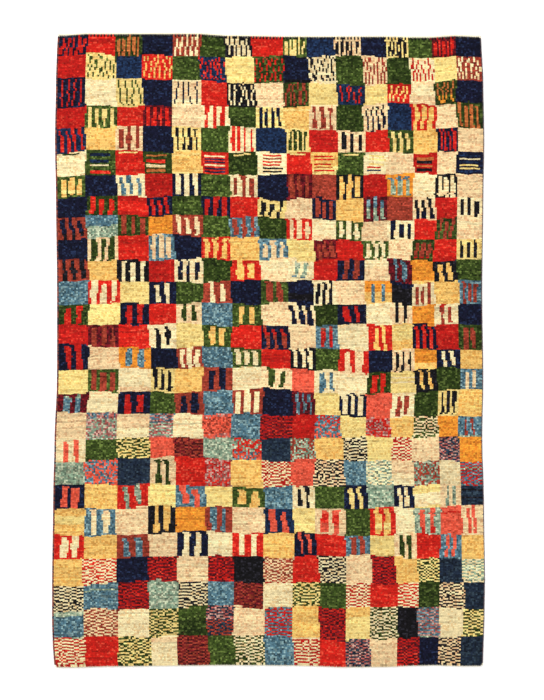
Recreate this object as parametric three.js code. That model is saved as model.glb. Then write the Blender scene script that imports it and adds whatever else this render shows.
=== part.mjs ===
import * as THREE from "three";
import { mergeVertices } from "three/addons/utils/BufferGeometryUtils.js";

// A hand-knotted gabbeh rug lying flat: one thick cloth of wool pile on a woven ground, with a
// narrow flat-woven strip at each end, and an overcast cord along each side.
// Millimetres. X runs across the rug, Y along it from the near end to the far one, Z up.

const { lerp, smoothstep } = THREE.MathUtils;

// The pile and its ground. The pile is sheared by hand, so its top rises and falls a little.
const pileHeight = 12.2;
const shearing = { depth: 0.35, acrossWave: 410, alongWave: 530, slantWave: 290 };

// The flat-woven strip at each end.
const endStrip = { width: 6, thickness: 3 };

// The cord along each side: a flat-bottomed bundle of warps, wound round with yarn.
const cord = { width: 6.5, height: 5.6, faces: 8, thinEnd: 0.82 };
const clearance = 0.3;

// The grid that the cloth's top is drawn on, not counting the rims.
const cells = { across: 18, along: 30 };

// Where the long sides run. The weaver's tension varied, so neither is straight.
const sides = [
  { y: -893, left: -599, right: 599 },
  { y: -866, left: -605, right: 603 },
  { y: -760, left: -608, right: 606 },
  { y: -660, left: -608, right: 608 },
  { y: -420, left: -605, right: 605 },
  { y: -250, left: -601, right: 600 },
  { y: -80, left: -594, right: 603 },
  { y: 170, left: -594, right: 600 },
  { y: 420, left: -597, right: 603 },
  { y: 590, left: -600, right: 606 },
  { y: 760, left: -597, right: 603 },
  { y: 866, left: -594, right: 598 },
  { y: 893, left: -589, right: 592 },
];

// Where the two ends run.
const ends = [
  { x: -608, bottom: -891, top: 889 },
  { x: -585, bottom: -893, top: 893 },
  { x: -490, bottom: -889, top: 893 },
  { x: -200, bottom: -886, top: 893 },
  { x: -130, bottom: -885, top: 888 },
  { x: 75, bottom: -886, top: 885 },
  { x: 215, bottom: -891, top: 885 },
  { x: 360, bottom: -890, top: 885 },
  { x: 440, bottom: -885, top: 882 },
  { x: 560, bottom: -888, top: 888 },
  { x: 608, bottom: -885, top: 885 },
];

// How the pile rounds over at a side and at an end, from the floor up and inwards.
const sideRim = [
  { inset: 0, height: 0 },
  { inset: 0, height: 7 },
  { inset: 1.6, height: 10.2 },
  { inset: 5, height: 11.8 },
];
const endRim = [
  { inset: 0, height: 0 },
  { inset: 0, height: endStrip.thickness },
  { inset: endStrip.width, height: endStrip.thickness },
  { inset: endStrip.width + 0.6, height: 8.6 },
  { inset: endStrip.width + 2.6, height: 10.8 },
  { inset: endStrip.width + 7, height: 11.9 },
];

// One column of a table, read at a place between its rows.
function readOff(table, along, column, at) {
  const next = table.findIndex((row, i) => i > 0 && (at <= row[along] || i === table.length - 1));
  const from = table[next - 1];
  const to = table[next];
  return lerp(from[column], to[column], smoothstep(at, from[along], to[along]));
}

// A place on the floor: u goes from the left side to the right one, v from the near end to the
// far one, and the shifts are added in millimetres.
function place(u, v, shiftX, shiftY) {
  const roughX = lerp(ends[0].x, ends.at(-1).x, u);
  const bottom = readOff(ends, "x", "bottom", roughX);
  const top = readOff(ends, "x", "top", roughX);
  const y = lerp(bottom, top, v) + shiftY;
  const left = readOff(sides, "y", "left", y);
  const right = readOff(sides, "y", "right", y);
  return { x: lerp(left, right, u) + shiftX, y };
}

// How high the sheared pile stands at a place.
function sheared(x, y) {
  const turn = 2 * Math.PI;
  const across = Math.sin((x / shearing.acrossWave) * turn);
  const along = Math.sin((y / shearing.alongWave) * turn + 1);
  const slant = Math.sin(((x + y) / shearing.slantWave) * turn + 2);
  return pileHeight + shearing.depth * (across * along + slant) * 0.5;
}

// The grid lines of one direction: a rim, the cells between, and the rim mirrored.
function gridLines(rim, edge, count) {
  const near = rim.map((r) => ({ share: 0, shift: edge + r.inset, height: r.height }));
  const far = near.map((r) => ({ share: 1, shift: -r.shift, height: r.height })).reverse();
  const between = Array.from({ length: count - 1 }, (_, i) => ({
    share: (i + 1) / count,
    shift: 0,
    height: Infinity,
  }));
  return [...near, ...between, ...far];
}

// A closed body from triangles that name their corners, without those that have no area.
function bodyOf(points, triangles) {
  const loose = new THREE.BufferGeometry();
  loose.setAttribute("position", new THREE.Float32BufferAttribute(points.flat(), 3));
  loose.setIndex(triangles.flat());
  const merged = mergeVertices(loose, 1e-4);
  const index = Array.from(merged.index.array);
  const kept = [];
  for (let i = 0; i < index.length; i += 3) {
    const [a, b, c] = index.slice(i, i + 3);
    if (a !== b && b !== c && c !== a) kept.push(a, b, c);
  }
  merged.setIndex(kept);
  merged.computeVertexNormals();
  return merged;
}

// The cloth: a grid over the pile, whose outermost line lies on the floor, closed by a flat
// underside that fans out from one point.
function clothGeometry() {
  const columns = gridLines(sideRim, cord.width + clearance, cells.across);
  const rows = gridLines(endRim, 0, cells.along);
  const points = [];
  for (const row of rows) {
    for (const column of columns) {
      const { x, y } = place(column.share, row.share, column.shift, row.shift);
      points.push([x, y, Math.min(column.height, row.height, sheared(x, y))]);
    }
  }
  const at = (i, j) => j * columns.length + i;
  const lastColumn = columns.length - 1;
  const lastRow = rows.length - 1;
  const triangles = [];
  for (let j = 0; j < lastRow; j += 1) {
    for (let i = 0; i < lastColumn; i += 1) {
      triangles.push([at(i, j), at(i + 1, j), at(i + 1, j + 1)]);
      triangles.push([at(i, j), at(i + 1, j + 1), at(i, j + 1)]);
    }
  }
  const outline = [
    ...columns.map((_, i) => at(i, 0)),
    ...rows.map((_, j) => at(lastColumn, j)),
    ...columns.map((_, i) => at(lastColumn - i, lastRow)),
    ...rows.map((_, j) => at(0, lastRow - j)),
  ];
  const middle = points.push([0, 0, 0]) - 1;
  outline.forEach((here, i) => {
    triangles.push([here, middle, outline[(i + 1) % outline.length]]);
  });
  return bodyOf(points, triangles);
}

// One side's cord: rings of points that rest on the floor, one beside each row of the cloth's
// grid so that the two bend alike, with closed ends.
function cordGeometry(side) {
  const u = side === "left" ? 0 : 1;
  const inwards = (side === "left" ? 1 : -1) * (cord.width / 2);
  const steps = gridLines(endRim, 0, cells.along).filter((row) => row.height > 0);
  const last = steps.length - 1;
  const points = [];
  steps.forEach((row, step) => {
    const { x, y } = place(u, row.share, inwards, row.shift);
    const size = step === 0 || step === last ? cord.thinEnd : 1;
    for (let face = 0; face < cord.faces; face += 1) {
      const angle = ((face + 0.5) / cord.faces) * 2 * Math.PI;
      const reach = size / Math.cos(Math.PI / cord.faces) / 2;
      const across = Math.cos(angle) * reach * cord.width;
      const up = (Math.sin(angle) * reach + size / 2) * cord.height;
      points.push([x + across, y, up]);
    }
  });
  const at = (face, step) => step * cord.faces + (face % cord.faces);
  const triangles = [];
  for (let step = 0; step < last; step += 1) {
    for (let face = 0; face < cord.faces; face += 1) {
      triangles.push([at(face, step), at(face, step + 1), at(face + 1, step + 1)]);
      triangles.push([at(face, step), at(face + 1, step + 1), at(face + 1, step)]);
    }
  }
  for (let face = 1; face < cord.faces - 1; face += 1) {
    triangles.push([at(0, 0), at(face, 0), at(face + 1, 0)]);
    triangles.push([at(0, last), at(face + 1, last), at(face, last)]);
  }
  return bodyOf(points, triangles);
}

const pileWool = new THREE.MeshStandardMaterial({ color: 0xb5443a, roughness: 0.95, metalness: 0 });
const cordWool = new THREE.MeshStandardMaterial({ color: 0x4a1f38, roughness: 0.9, metalness: 0 });

const rug = new THREE.Group();
const cloth = new THREE.Mesh(clothGeometry(), pileWool);
cloth.name = "rug_cloth";
rug.add(cloth);
for (const side of ["left", "right"]) {
  const edge = new THREE.Mesh(cordGeometry(side), cordWool);
  edge.name = `side_cord_${side}`;
  rug.add(edge);
}

// The origin is on the floor, under the middle of the rug's box.
const box = new THREE.Box3().setFromObject(rug);
const middle = box.getCenter(new THREE.Vector3());
rug.position.set(-middle.x, -middle.y, 0);

export default rug;
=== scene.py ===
import bpy
import numpy as np
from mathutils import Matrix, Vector


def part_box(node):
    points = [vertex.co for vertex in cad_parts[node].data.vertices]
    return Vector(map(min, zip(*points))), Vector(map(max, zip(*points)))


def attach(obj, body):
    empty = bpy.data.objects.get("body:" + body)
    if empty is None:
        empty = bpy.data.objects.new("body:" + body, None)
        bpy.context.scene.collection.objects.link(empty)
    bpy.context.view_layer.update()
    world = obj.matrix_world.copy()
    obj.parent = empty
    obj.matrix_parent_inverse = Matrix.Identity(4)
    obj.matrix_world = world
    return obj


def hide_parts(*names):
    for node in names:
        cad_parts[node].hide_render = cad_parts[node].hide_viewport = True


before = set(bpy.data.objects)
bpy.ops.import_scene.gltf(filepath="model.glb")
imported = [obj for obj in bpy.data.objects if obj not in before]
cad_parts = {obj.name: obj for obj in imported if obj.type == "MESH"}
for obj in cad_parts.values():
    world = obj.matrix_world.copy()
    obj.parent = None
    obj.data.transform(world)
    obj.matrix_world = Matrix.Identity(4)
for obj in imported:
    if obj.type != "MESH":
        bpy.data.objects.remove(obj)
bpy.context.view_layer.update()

# Picture: the rug is seen from straight above, upright and nearly filling the picture, on a white
# floor under soft even light. One pixel of the photograph is 2.81 mm on the rug.
MM = 0.001
PIXEL = 2.81 * MM
PICTURE_HEIGHT = 700 * PIXEL
RUG_LEFT_OF_MIDDLE = 3.5 * PIXEL
CAMERA_HEIGHT = 6.0
FLOOR_SIZE = 40.0
FLOOR_BELOW = 0.2 * MM
FLOOR_WHITE = (0.97, 0.97, 0.965, 1)
FLOOR_ROUGHNESS = 0.9
DAYLIGHT_COLOUR = (1.0, 0.99, 0.975, 1)


def add_camera():
    data = bpy.data.cameras.new("camera")
    data.lens = data.sensor_width * CAMERA_HEIGHT / PICTURE_HEIGHT
    camera = bpy.data.objects.new("camera", data)
    camera.location = (RUG_LEFT_OF_MIDDLE, 0, CAMERA_HEIGHT)
    bpy.context.scene.collection.objects.link(camera)
    bpy.context.scene.camera = camera


def add_softbox(name, place, size, watts):
    data = bpy.data.lights.new(name, "AREA")
    data.size = size
    data.energy = watts
    lamp = bpy.data.objects.new(name, data)
    lamp.location = place
    lamp.rotation_mode = "QUATERNION"
    lamp.rotation_quaternion = (-Vector(place)).to_track_quat("-Z", "Y")
    bpy.context.scene.collection.objects.link(lamp)


def add_daylight(strength):
    world = bpy.data.worlds.new("studio")
    world.use_nodes = True
    background = world.node_tree.nodes["Background"]
    background.inputs["Color"].default_value = DAYLIGHT_COLOUR
    background.inputs["Strength"].default_value = strength
    bpy.context.scene.world = world


def add_floor():
    half = FLOOR_SIZE / 2
    mesh = bpy.data.meshes.new("floor")
    corners = [(-half, -half), (half, -half), (half, half), (-half, half)]
    mesh.from_pydata([(x, y, -FLOOR_BELOW) for x, y in corners], [], [(0, 1, 2, 3)])
    paint = bpy.data.materials.new("floor paint")
    paint.use_nodes = True
    surface = paint.node_tree.nodes["Principled BSDF"]
    surface.inputs["Base Color"].default_value = FLOOR_WHITE
    surface.inputs["Roughness"].default_value = FLOOR_ROUGHNESS
    mesh.materials.append(paint)
    floor = bpy.data.objects.new("floor", mesh)
    bpy.context.scene.collection.objects.link(floor)


bpy.context.scene.view_settings.view_transform = "Standard"
add_camera()
add_daylight(strength=0.72)
add_softbox("key", place=(-1.9, 2.6, 4.2), size=2.4, watts=225)
add_softbox("fill", place=(3.2, -2.2, 4.0), size=3.2, watts=90)
add_floor()


# Design: squares in a chequer, tied from memory. Plain squares stand between squares that carry
# upright bars, rungs or wavy lines, and what they carry changes from band to band. The yarn is
# hand spun and hand dyed, so no two skeins of a colour are quite alike.
SQUARES_ACROSS = 16
KNOTS_ACROSS = 248
KNOT_ROWS = 396
plan = np.random.default_rng(1909)

# What each yarn looks like, the shade that strays into it and how much of that there is, how
# uneven it is from knot to knot, and the yarn that the weaver goes on with where it runs out.
YARNS = {
    "red": dict(colour="#CF2116", stray="#EA4A34", strays=0.18, uneven=0.14, next="crimson"),
    "crimson": dict(colour="#BB1B15", stray="#D43828", strays=0.16, uneven=0.16, next="red"),
    "brick": dict(colour="#A84230", stray="#8E3422", strays=0.4, uneven=0.22, next="crimson"),
    "coral": dict(colour="#F2644A", stray="#DC5038", strays=0.35, uneven=0.17, next="red"),
    "maroon": dict(colour="#74161E", stray="#4A0E16", strays=0.4, uneven=0.34, next="crimson"),
    "navy": dict(colour="#101228", stray="#1F2A47", strays=0.22, uneven=0.36, next="ink"),
    "ink": dict(colour="#121013", stray="#28262E", strays=0.22, uneven=0.36, next="navy"),
    "blue": dict(colour="#1D3253", stray="#141F38", strays=0.4, uneven=0.33, next="navy"),
    "indigo": dict(colour="#1C2839", stray="#2E3D4A", strays=0.35, uneven=0.38, next="ink"),
    "slate": dict(colour="#4D6F7D", stray="#7F9DA0", strays=0.36, uneven=0.38, next="celadon"),
    "green": dict(colour="#394A1A", stray="#607234", strays=0.27, uneven=0.37, next="moss"),
    "moss": dict(colour="#293810", stray="#4C5B28", strays=0.27, uneven=0.39, next="green"),
    "gold": dict(colour="#FACA72", stray="#E7AB55", strays=0.28, uneven=0.1, next="straw"),
    "orange": dict(colour="#F29B33", stray="#E4872A", strays=0.35, uneven=0.17, next="gold"),
    "straw": dict(colour="#FADE8C", stray="#E6C16E", strays=0.2, uneven=0.085, next="cream"),
    "cream": dict(colour="#FAE6B2", stray="#EBCA92", strays=0.19, uneven=0.085, next="peach"),
    "peach": dict(colour="#F9D9A5", stray="#E7B887", strays=0.22, uneven=0.1, next="cream"),
    "rust": dict(colour="#C4703A", stray="#A9562A", strays=0.3, uneven=0.17, next="orange"),
    "heather": dict(colour="#AC5A52", stray="#C49688", strays=0.45, uneven=0.34, next="brick"),
    "celadon": dict(colour="#81987F", stray="#B6BEA0", strays=0.42, uneven=0.36, next="slate"),
}
YARN_NAMES = list(YARNS)
# Yarns too much alike to lie side by side.
FAMILIES = [
    "red crimson coral brick", "navy ink blue indigo", "green moss", "gold orange", "slate celadon",
]

# The bands of the rug from the far end on: the height of each row of squares in millimetres,
# what every other square carries, and between which numbers of bars it chooses.
BANDS = [
    dict(heights=(55,), figure="bars", bars=(5, 5), pairs="fine", plain="far"),
    dict(heights=(69,), figure="broken", bars=(6, 7), pairs="fine", plain="far"),
    dict(heights=(68,), figure="lines", bars=(4, 6), pairs="fine", plain="light"),
    dict(heights=(68, 68), figure="bars", bars=(3, 4), pairs="fine", plain="warm"),
    dict(heights=(61,), figure="rungs", bars=(4, 6), pairs="rung", plain="dark"),
    dict(heights=(62, 60), figure="bars", bars=(3, 3), pairs="bold", plain="dark"),
    dict(heights=(58, 60), figure="bars", bars=(3, 3), pairs="bold", plain="bright"),
    dict(heights=(60, 62, 61, 61, 64), figure="bars", bars=(2, 3), pairs="bold", plain="bright"),
    dict(heights=(62, 65), figure="bars", bars=(2, 3), pairs="bold", plain="mild"),
    dict(heights=(66, 65, 71), figure="mixed", bars=(2, 2), pairs="", plain="soft"),
    dict(heights=(63, 69, 69), figure="bars", bars=(2, 2), pairs="soft", plain="soft"),
    dict(heights=(69, 76, 81, 77), figure="waves", bars=(0, 0), pairs="wave", plain="near"),
]
PLAIN_YARNS = {
    "far": "navy navy navy red red crimson green moss blue straw green blue",
    "light": "straw peach peach cream navy crimson peach straw red navy",
    "warm": "gold gold peach green moss navy red crimson blue peach",
    "dark": "gold peach navy navy crimson brick green moss crimson red cream peach",
    "bright": "red crimson red green moss gold peach slate orange navy cream peach navy straw",
    "mild": "cream peach straw green moss slate gold peach coral navy cream straw",
    "soft": "green coral peach straw peach celadon gold red slate straw indigo cream orange gold",
    "near": "moss green navy ink indigo indigo peach cream cream peach gold gold red red slate "
            "slate celadon",
}
# Ground and figure of the squares that carry something.
PAIRS = {
    "fine": "straw/moss peach/ink moss/brick cream/red navy/crimson cream/ink green/straw "
            "brick/cream ink/cream moss/rust blue/red peach/brick red/gold straw/ink maroon/red",
    "rung": "moss/red cream/rust cream/ink navy/cream red/cream gold/ink crimson/navy green/straw",
    "bold": "moss/red green/brick cream/ink cream/brick navy/brick red/peach cream/navy straw/ink "
            "green/cream ink/cream brick/cream red/gold orange/slate navy/crimson slate/peach "
            "ink/gold moss/brick maroon/slate green/gold slate/brick maroon/brick peach/moss "
            "navy/cream peach/ink navy/crimson brick/navy cream/slate",
    "soft": "red/gold slate/coral slate/peach navy/coral cream/coral cream/ink celadon/coral "
            "peach/coral red/celadon navy/cream peach/moss green/gold peach/slate navy/straw "
            "brick/slate slate/brick ink/gold red/cream blue/coral",
    "pepper": "heather/slate coral/slate slate/coral celadon/brick coral/heather heather/crimson",
    "wave": "cream/ink straw/moss cream/crimson peach/brick cream/red maroon/crimson peach/ink "
            "cream/crimson straw/moss maroon/crimson cream/moss heather/slate crimson/slate "
            "cream/celadon maroon/crimson cream/ink maroon/brick heather/indigo",
}
RUNG_YARNS = "ink red straw blue brick cream rust".split()
LIGHT_YARNS = "gold orange straw cream peach".split()
LOT_CHANGES = dict(plain=0.14, ground=0.05, figure=0.3)
PICK_LINES = 0.1
LINED_BETWEEN_RUNGS = 0.75
# Every other knot of the first row, at the far end, is dark.
FIRST_ROW_YARN = "ink"
RIM = 3
# The squares are wider on the left than on the right: by how much at the far end and the near one.
LEFT_WIDER = (0.1, 0.22)
WIDTH_SPREAD = 0.05
# How their sides stray, in knots: a slow sway, a quicker one, and a jog at each square.
UPRIGHT_SWAY, UPRIGHT_SHAKE = dict(reach=1.2, every=60), dict(reach=0.7, every=14)
LEVEL_SWAY, LEVEL_SHAKE = dict(reach=1.7, every=60), dict(reach=0.3, every=16)
UPRIGHT_JOG, LEVEL_JOG = 0.6, 0.9
row_heights = [height for band in BANDS for height in band["heights"]]
row_ends = np.cumsum(row_heights) / sum(row_heights) * KNOT_ROWS


def drift(steps, reach, every):
    """A line that wanders up to so many knots either way, as a hand and a loose warp do."""
    marks = plan.uniform(-reach, reach, steps // every + 3)
    return np.interp(np.arange(steps) / every, np.arange(len(marks)), marks)


def upright_lines():
    """Where the squares' upright sides run, in knots, for each knot row."""
    wider = np.linspace(*LEFT_WIDER, KNOT_ROWS)[:, None] * np.linspace(1, -1, SQUARES_ACROSS)
    widths = plan.normal(1, WIDTH_SPREAD, SQUARES_ACROSS) * (1 + wider)
    places = np.cumsum(widths, axis=1) / widths.sum(axis=1, keepdims=True) * KNOTS_ACROSS
    down = np.searchsorted(row_ends, np.arange(KNOT_ROWS), side="right")
    lines = [
        x + drift(KNOT_ROWS, **UPRIGHT_SWAY) + drift(KNOT_ROWS, **UPRIGHT_SHAKE)
        + plan.uniform(-UPRIGHT_JOG, UPRIGHT_JOG, len(row_ends) + 1)[down]
        for x in places.T[:-1]
    ]
    ends = np.zeros(KNOT_ROWS), np.full(KNOT_ROWS, KNOTS_ACROSS)
    return np.array([ends[0], *lines, ends[1]]).round().astype(int)


def level_lines():
    """Where the squares' far sides run, in knot rows, for each knot across."""
    jogs = plan.uniform(-LEVEL_JOG, LEVEL_JOG, (len(row_ends) - 1, SQUARES_ACROSS))
    across = np.arange(KNOTS_ACROSS) * SQUARES_ACROSS // KNOTS_ACROSS
    lines = [
        y + drift(KNOTS_ACROSS, **LEVEL_SWAY) + drift(KNOTS_ACROSS, **LEVEL_SHAKE) + jog[across]
        for y, jog in zip(row_ends, jogs)
    ]
    ends = np.zeros(KNOTS_ACROSS), np.full(KNOTS_ACROSS, KNOT_ROWS)
    return np.array([ends[0], *lines, ends[1]]).round().astype(int)


# Bars, in knots: the room beside a pair of them and beside more, the share of its own room that
# each one fills, and how far it leans, sways and swells.
BAR_MARGINS = dict(pair=2.2, more=0.9)
BAR_SHARE = (0.46, 0.58)
BAR_LEAN, BAR_SWAY, BAR_SWELL = 0.28, 0.3, 0.2


def draw_bars(high, wide, bars):
    """Upright bars like teeth or vases, drawn in the middle of a square."""
    drawn = np.zeros((high, wide), int)
    margin = BAR_MARGINS["pair" if bars < 3 else "more"]
    room = (wide - 2 * margin) / bars
    thick = room * plan.uniform(*BAR_SHARE)
    lean = plan.normal(0, BAR_LEAN) * np.linspace(-1, 1, high)
    for bar in range(bars):
        middle = margin + room * (bar + 0.5) + lean + drift(high, BAR_SWAY, every=9)
        half = (thick + drift(high, BAR_SWELL * room, every=7)) / 2
        for row in range(plan.integers(0, 3), high - plan.integers(0, 2)):
            left = int(round(middle[row] - half[row]))
            right = max(int(round(middle[row] + half[row])), left + 1)
            drawn[row, max(left, 1):min(right, wide - 1)] = 1
    return drawn


LINE_MARGIN, LINE_LEAN, LINE_SWAY = 0.8, 1.1, 0.7


def draw_lines(high, wide, lines):
    """Bars one knot wide, each leaning its own way."""
    drawn = np.zeros((high, wide), int)
    room = (wide - 2 * LINE_MARGIN) / lines
    for line in range(lines):
        lean = plan.uniform(-LINE_LEAN, LINE_LEAN) * np.linspace(-1, 1, high)
        middle = LINE_MARGIN + room * (line + 0.5) + lean + drift(high, LINE_SWAY, every=4)
        for row in range(1, high - 1):
            drawn[row, int(np.clip(middle[row], 1, wide - 2))] = 1
    return drawn


# Between which shares of the way down a square its dashes end, and how often they have a gap.
DASHES_END = (0.5, 0.95)
DASH_GAPS = 0.35
DASH_MARGIN = 0.3


def draw_broken(high, wide, lines):
    """Short upright dashes that part and meet, and run on as lines lower down."""
    drawn = np.zeros((high, wide), int)
    room = (wide - 2 * DASH_MARGIN) / lines
    calm = high * plan.uniform(*DASHES_END)
    for line in range(lines):
        middle = DASH_MARGIN + room * (line + 0.5)
        row = plan.integers(0, 3)
        while row < high - 1:
            busy = row < calm
            length = plan.integers(2, 4) if busy else plan.integers(3, 6)
            at = int(np.clip(middle + (plan.integers(-1, 2) if busy else 0), 0, wide - 1))
            drawn[row:min(row + length, high - 1), at] = 1
            row += length + (1 if busy and plan.random() < DASH_GAPS else 0)
    return drawn


RUNG_MARGIN = 2
MANY_RUNGS = 5


def draw_rungs(high, wide, rungs):
    """Short level bars one above the other, numbered 2, 3 and so on by their yarn."""
    drawn = np.zeros((high, wide), int)
    left = RUNG_MARGIN + plan.integers(0, 2)
    right = wide - RUNG_MARGIN - plan.integers(0, 2)
    for rung in range(rungs):
        row = 1 + int((rung + 0.5) * (high - 2) / rungs)
        thick = plan.integers(1, 3) if rungs < MANY_RUNGS else 1
        shift = plan.integers(-1, 2) if rung else 0
        drawn[row:row + thick, left:max(right + shift, left + 4)] = 2 + plan.integers(0, 3)
    return drawn


# Waves: the dashes' lengths in knots, and how often a dash's end and a whole row are set off.
DASH_LENGTHS = [2, 2, 2, 3]
END_SET_OFF, ROW_SET_OFF = 0.22, 0.25
PEPPER_SHARE = 0.46


def draw_waves(high, wide):
    """Level dashes a knot row high, each set off against the next, so that they run in waves."""
    drawn = np.zeros((high, wide), int)
    starts = np.cumsum(plan.choice(DASH_LENGTHS, wide)) - plan.integers(0, 3)
    off = np.zeros(wide, int)
    for row in range(high):
        off = np.where(plan.random(wide) < END_SET_OFF, plan.integers(-1, 2, wide), off)
        starts = starts + (plan.integers(-1, 2) if plan.random() < ROW_SET_OFF else 0)
        steps = (np.arange(wide)[:, None] >= starts + off).sum(1)
        drawn[row] = (steps + row) % 2
    return drawn


def draw_pepper(high, wide):
    """Single knots and short dashes of the figure yarn strewn over the ground."""
    return (plan.random((high, wide)) < PEPPER_SHARE).astype(int)


def draw_figure(kind, high, wide, bars):
    if kind == "waves":
        return draw_waves(high, wide)
    if kind == "pepper":
        return draw_pepper(high, wide)
    draw = {"bars": draw_bars, "lines": draw_lines, "broken": draw_broken, "rungs": draw_rungs}
    return draw[kind](high, wide, bars)


def alike(name):
    """The yarn and those too much like it."""
    return {name}.union(*(family.split() for family in FAMILIES if name in family.split()))


baskets = {}


def pick(choices, barred):
    """One of the choices whose ground isn't barred, none twice until most have been used."""
    basket = baskets.setdefault(choices, [])
    for _ in range(2):
        free = [choice for choice in basket if choice.split("/")[0] not in barred]
        if free:
            basket.remove(free[0])
            return free[0]
        basket.extend(str(choice) for choice in plan.permutation(choices.split()))
    return basket.pop()


def run_out(yarn, high, share):
    """The yarn's number for each row of a square: at times the lot changes part of the way."""
    numbers = np.full(high, YARN_NAMES.index(yarn))
    if plan.random() < share:
        other = YARN_NAMES.index(YARNS[yarn]["next"])
        start = plan.integers(1, high - 2)
        numbers[start:start + plan.integers(2, high)] = other
    return numbers


def plain_square(name, high, wide, lined):
    """A square of one yarn, now and then with a line or two of the next one. Between squares
    with rungs, most have one line near their far side."""
    worn = run_out(name, high, LOT_CHANGES["plain"])[:, None].repeat(wide, axis=1)
    if plan.random() < PICK_LINES:
        for row in plan.choice(high - 3, plan.integers(1, 4), replace=False) + 1:
            worn[row, plan.integers(0, 4):wide - plan.integers(0, 4)] = YARN_NAMES.index(
                YARNS[name]["next"])
    if lined and plan.random() < LINED_BETWEEN_RUNGS:
        line = "moss" if name in LIGHT_YARNS else "straw"
        worn[RIM + 1, RIM + 3:wide - RIM - 3] = YARN_NAMES.index(line)
    return worn


def figured_square(kind, ground, figure, high, wide, bars):
    """A square with its figure: waves fill it to its sides, the rest stands inside a rim."""
    if kind in ("waves", "pepper"):
        drawn = draw_figure(kind, high, wide, bars)
    else:
        inner = draw_figure(kind, high - 2 * RIM, wide - 2 * RIM, bars)
        drawn = np.pad(inner, RIM)
    grounds = run_out(ground, high, LOT_CHANGES["ground"])[:, None]
    figures = run_out(figure, high, LOT_CHANGES["figure"])[:, None]
    worn = np.where(drawn == 1, figures, grounds)
    others = [name for name in RUNG_YARNS if name != ground]
    for number, name in enumerate(plan.permutation(others)[:3]):
        worn = np.where(drawn == number + 2, YARN_NAMES.index(name), worn)
    return worn


def draw_design():
    """The yarn of every knot, by knot row from the far end and knot from the left."""
    uprights, levels = upright_lines(), level_lines()
    row, knot = np.mgrid[0:KNOT_ROWS, 0:KNOTS_ACROSS]
    square_across = (knot[None] >= uprights[1:-1][:, :, None]).sum(0)
    square_down = (row[None] >= levels[1:-1][:, None, :]).sum(0)
    yarn = np.zeros((KNOT_ROWS, KNOTS_ACROSS), int)
    above = [set()] * SQUARES_ACROSS
    for down, band in enumerate(band for band in BANDS for _ in band["heights"]):
        beside = set()
        here = []
        for across in range(SQUARES_ACROSS):
            mine = (square_down == down) & (square_across == across)
            rows, knots = row[mine], knot[mine]
            far, near = levels[down, knots], levels[down + 1, knots]
            left, right = uprights[across, rows], uprights[across + 1, rows]
            high = int(np.median(near - far)) + 2 * RIM
            wide = int(np.median(right - left)) + 2 * RIM
            barred = beside | above[across]
            if (down + across) % 2:
                name = pick(PLAIN_YARNS[band["plain"]], barred)
                worn = plain_square(name, high, wide, band["figure"] == "rungs")
                beside = alike(name)
            else:
                kind, pairs = band["figure"], band["pairs"]
                if kind == "mixed":
                    kind = str(plan.choice(["waves", "pepper", "bars"]))
                    pairs = {"waves": "wave", "pepper": "pepper", "bars": "soft"}[kind]
                ground, figure = pick(PAIRS[pairs], barred).split("/")
                bars = plan.integers(band["bars"][0], band["bars"][1] + 1)
                worn = figured_square(kind, ground, figure, high, wide, bars)
                beside = alike(ground)
            here.append(beside)
            at_row = rows - (far + near - high) // 2
            at_knot = knots - (left + right - wide) // 2
            yarn[mine] = worn[np.clip(at_row, 0, high - 1), np.clip(at_knot, 0, wide - 1)]
        above = here
    yarn[0, ::2] = YARN_NAMES.index(FIRST_ROW_YARN)
    return yarn, square_down * SQUARES_ACROSS + square_across


def linear(code):
    """A colour code as the linear light that Blender works in."""
    levels = np.array([int(code[i:i + 2], 16) for i in (1, 3, 5)]) / 255
    return np.where(levels <= 0.04045, levels / 12.92, ((levels + 0.055) / 1.055) ** 2.4)


# Partings are up to so many knots long, and the longer ones are the rarer. Their knots are painted
# darker, a painted shade for the gap between the two rows.
PARTING_LENGTH, PARTING_CHANCE, LONGER_RARER, PARTING_PAINTED_SHADE = 5, 0.03, 0.005, 0.8
# How much of a stray runs on from the knot beside it, how far skeins and the streaks in them
# differ in shade, and the darkest and lightest shade.
STRAY_RUN = 0.2
SKEINS, SKEIN_SPREAD, STREAK_SPREAD = 1009, 0.055, 0.08
SHADE_LIMITS = (0.4, 1.6)


def partings():
    """Where two knot rows stand a little apart for a few knots: there the knots are painted darker,
    as painted shade, since the tufts themselves don't part.
    """
    starts = plan.random((KNOT_ROWS, KNOTS_ACROSS))
    apart = np.zeros_like(starts, bool)
    for step in range(PARTING_LENGTH):
        apart |= np.roll(starts < PARTING_CHANCE - LONGER_RARER * step, step, axis=1)
    return np.where(apart, PARTING_PAINTED_SHADE, 1.0)


def dye_knots():
    """Every knot's colour: its yarn, the strays in it, the streaks that hand dyeing leaves, and the
    painted shade where rows part.
    """
    yarn, square = draw_design()
    colour = np.array([linear(YARNS[name]["colour"]) for name in YARN_NAMES])[yarn]
    stray = np.array([linear(YARNS[name]["stray"]) for name in YARN_NAMES])[yarn]
    strays = np.array([YARNS[name]["strays"] for name in YARN_NAMES])
    uneven = np.array([YARNS[name]["uneven"] for name in YARN_NAMES])[yarn]
    mix = plan.random((KNOT_ROWS, KNOTS_ACROSS))
    mix = (1 - STRAY_RUN) * mix + STRAY_RUN * np.roll(mix, 1, axis=1)
    dyed = np.where((mix < np.quantile(mix, strays)[yarn])[:, :, None], stray, colour)
    skeins = plan.normal(1, SKEIN_SPREAD, SKEINS)[(square * 31 + yarn * 17) % SKEINS]
    streak = plan.normal(0, STREAK_SPREAD, (KNOT_ROWS, len(row_ends) * SQUARES_ACROSS))
    streak = np.take_along_axis(streak, square, axis=1)
    # Skeins, streaks and unevenness are the yarn's own; the partings' factor is painted shade.
    shade = skeins * (1 + streak + plan.normal(0, 1, yarn.shape) * uneven) * partings()
    return np.clip(dyed * np.clip(shade, *SHADE_LIMITS)[:, :, None], 0, 1)


knot_colours = dye_knots()


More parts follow.
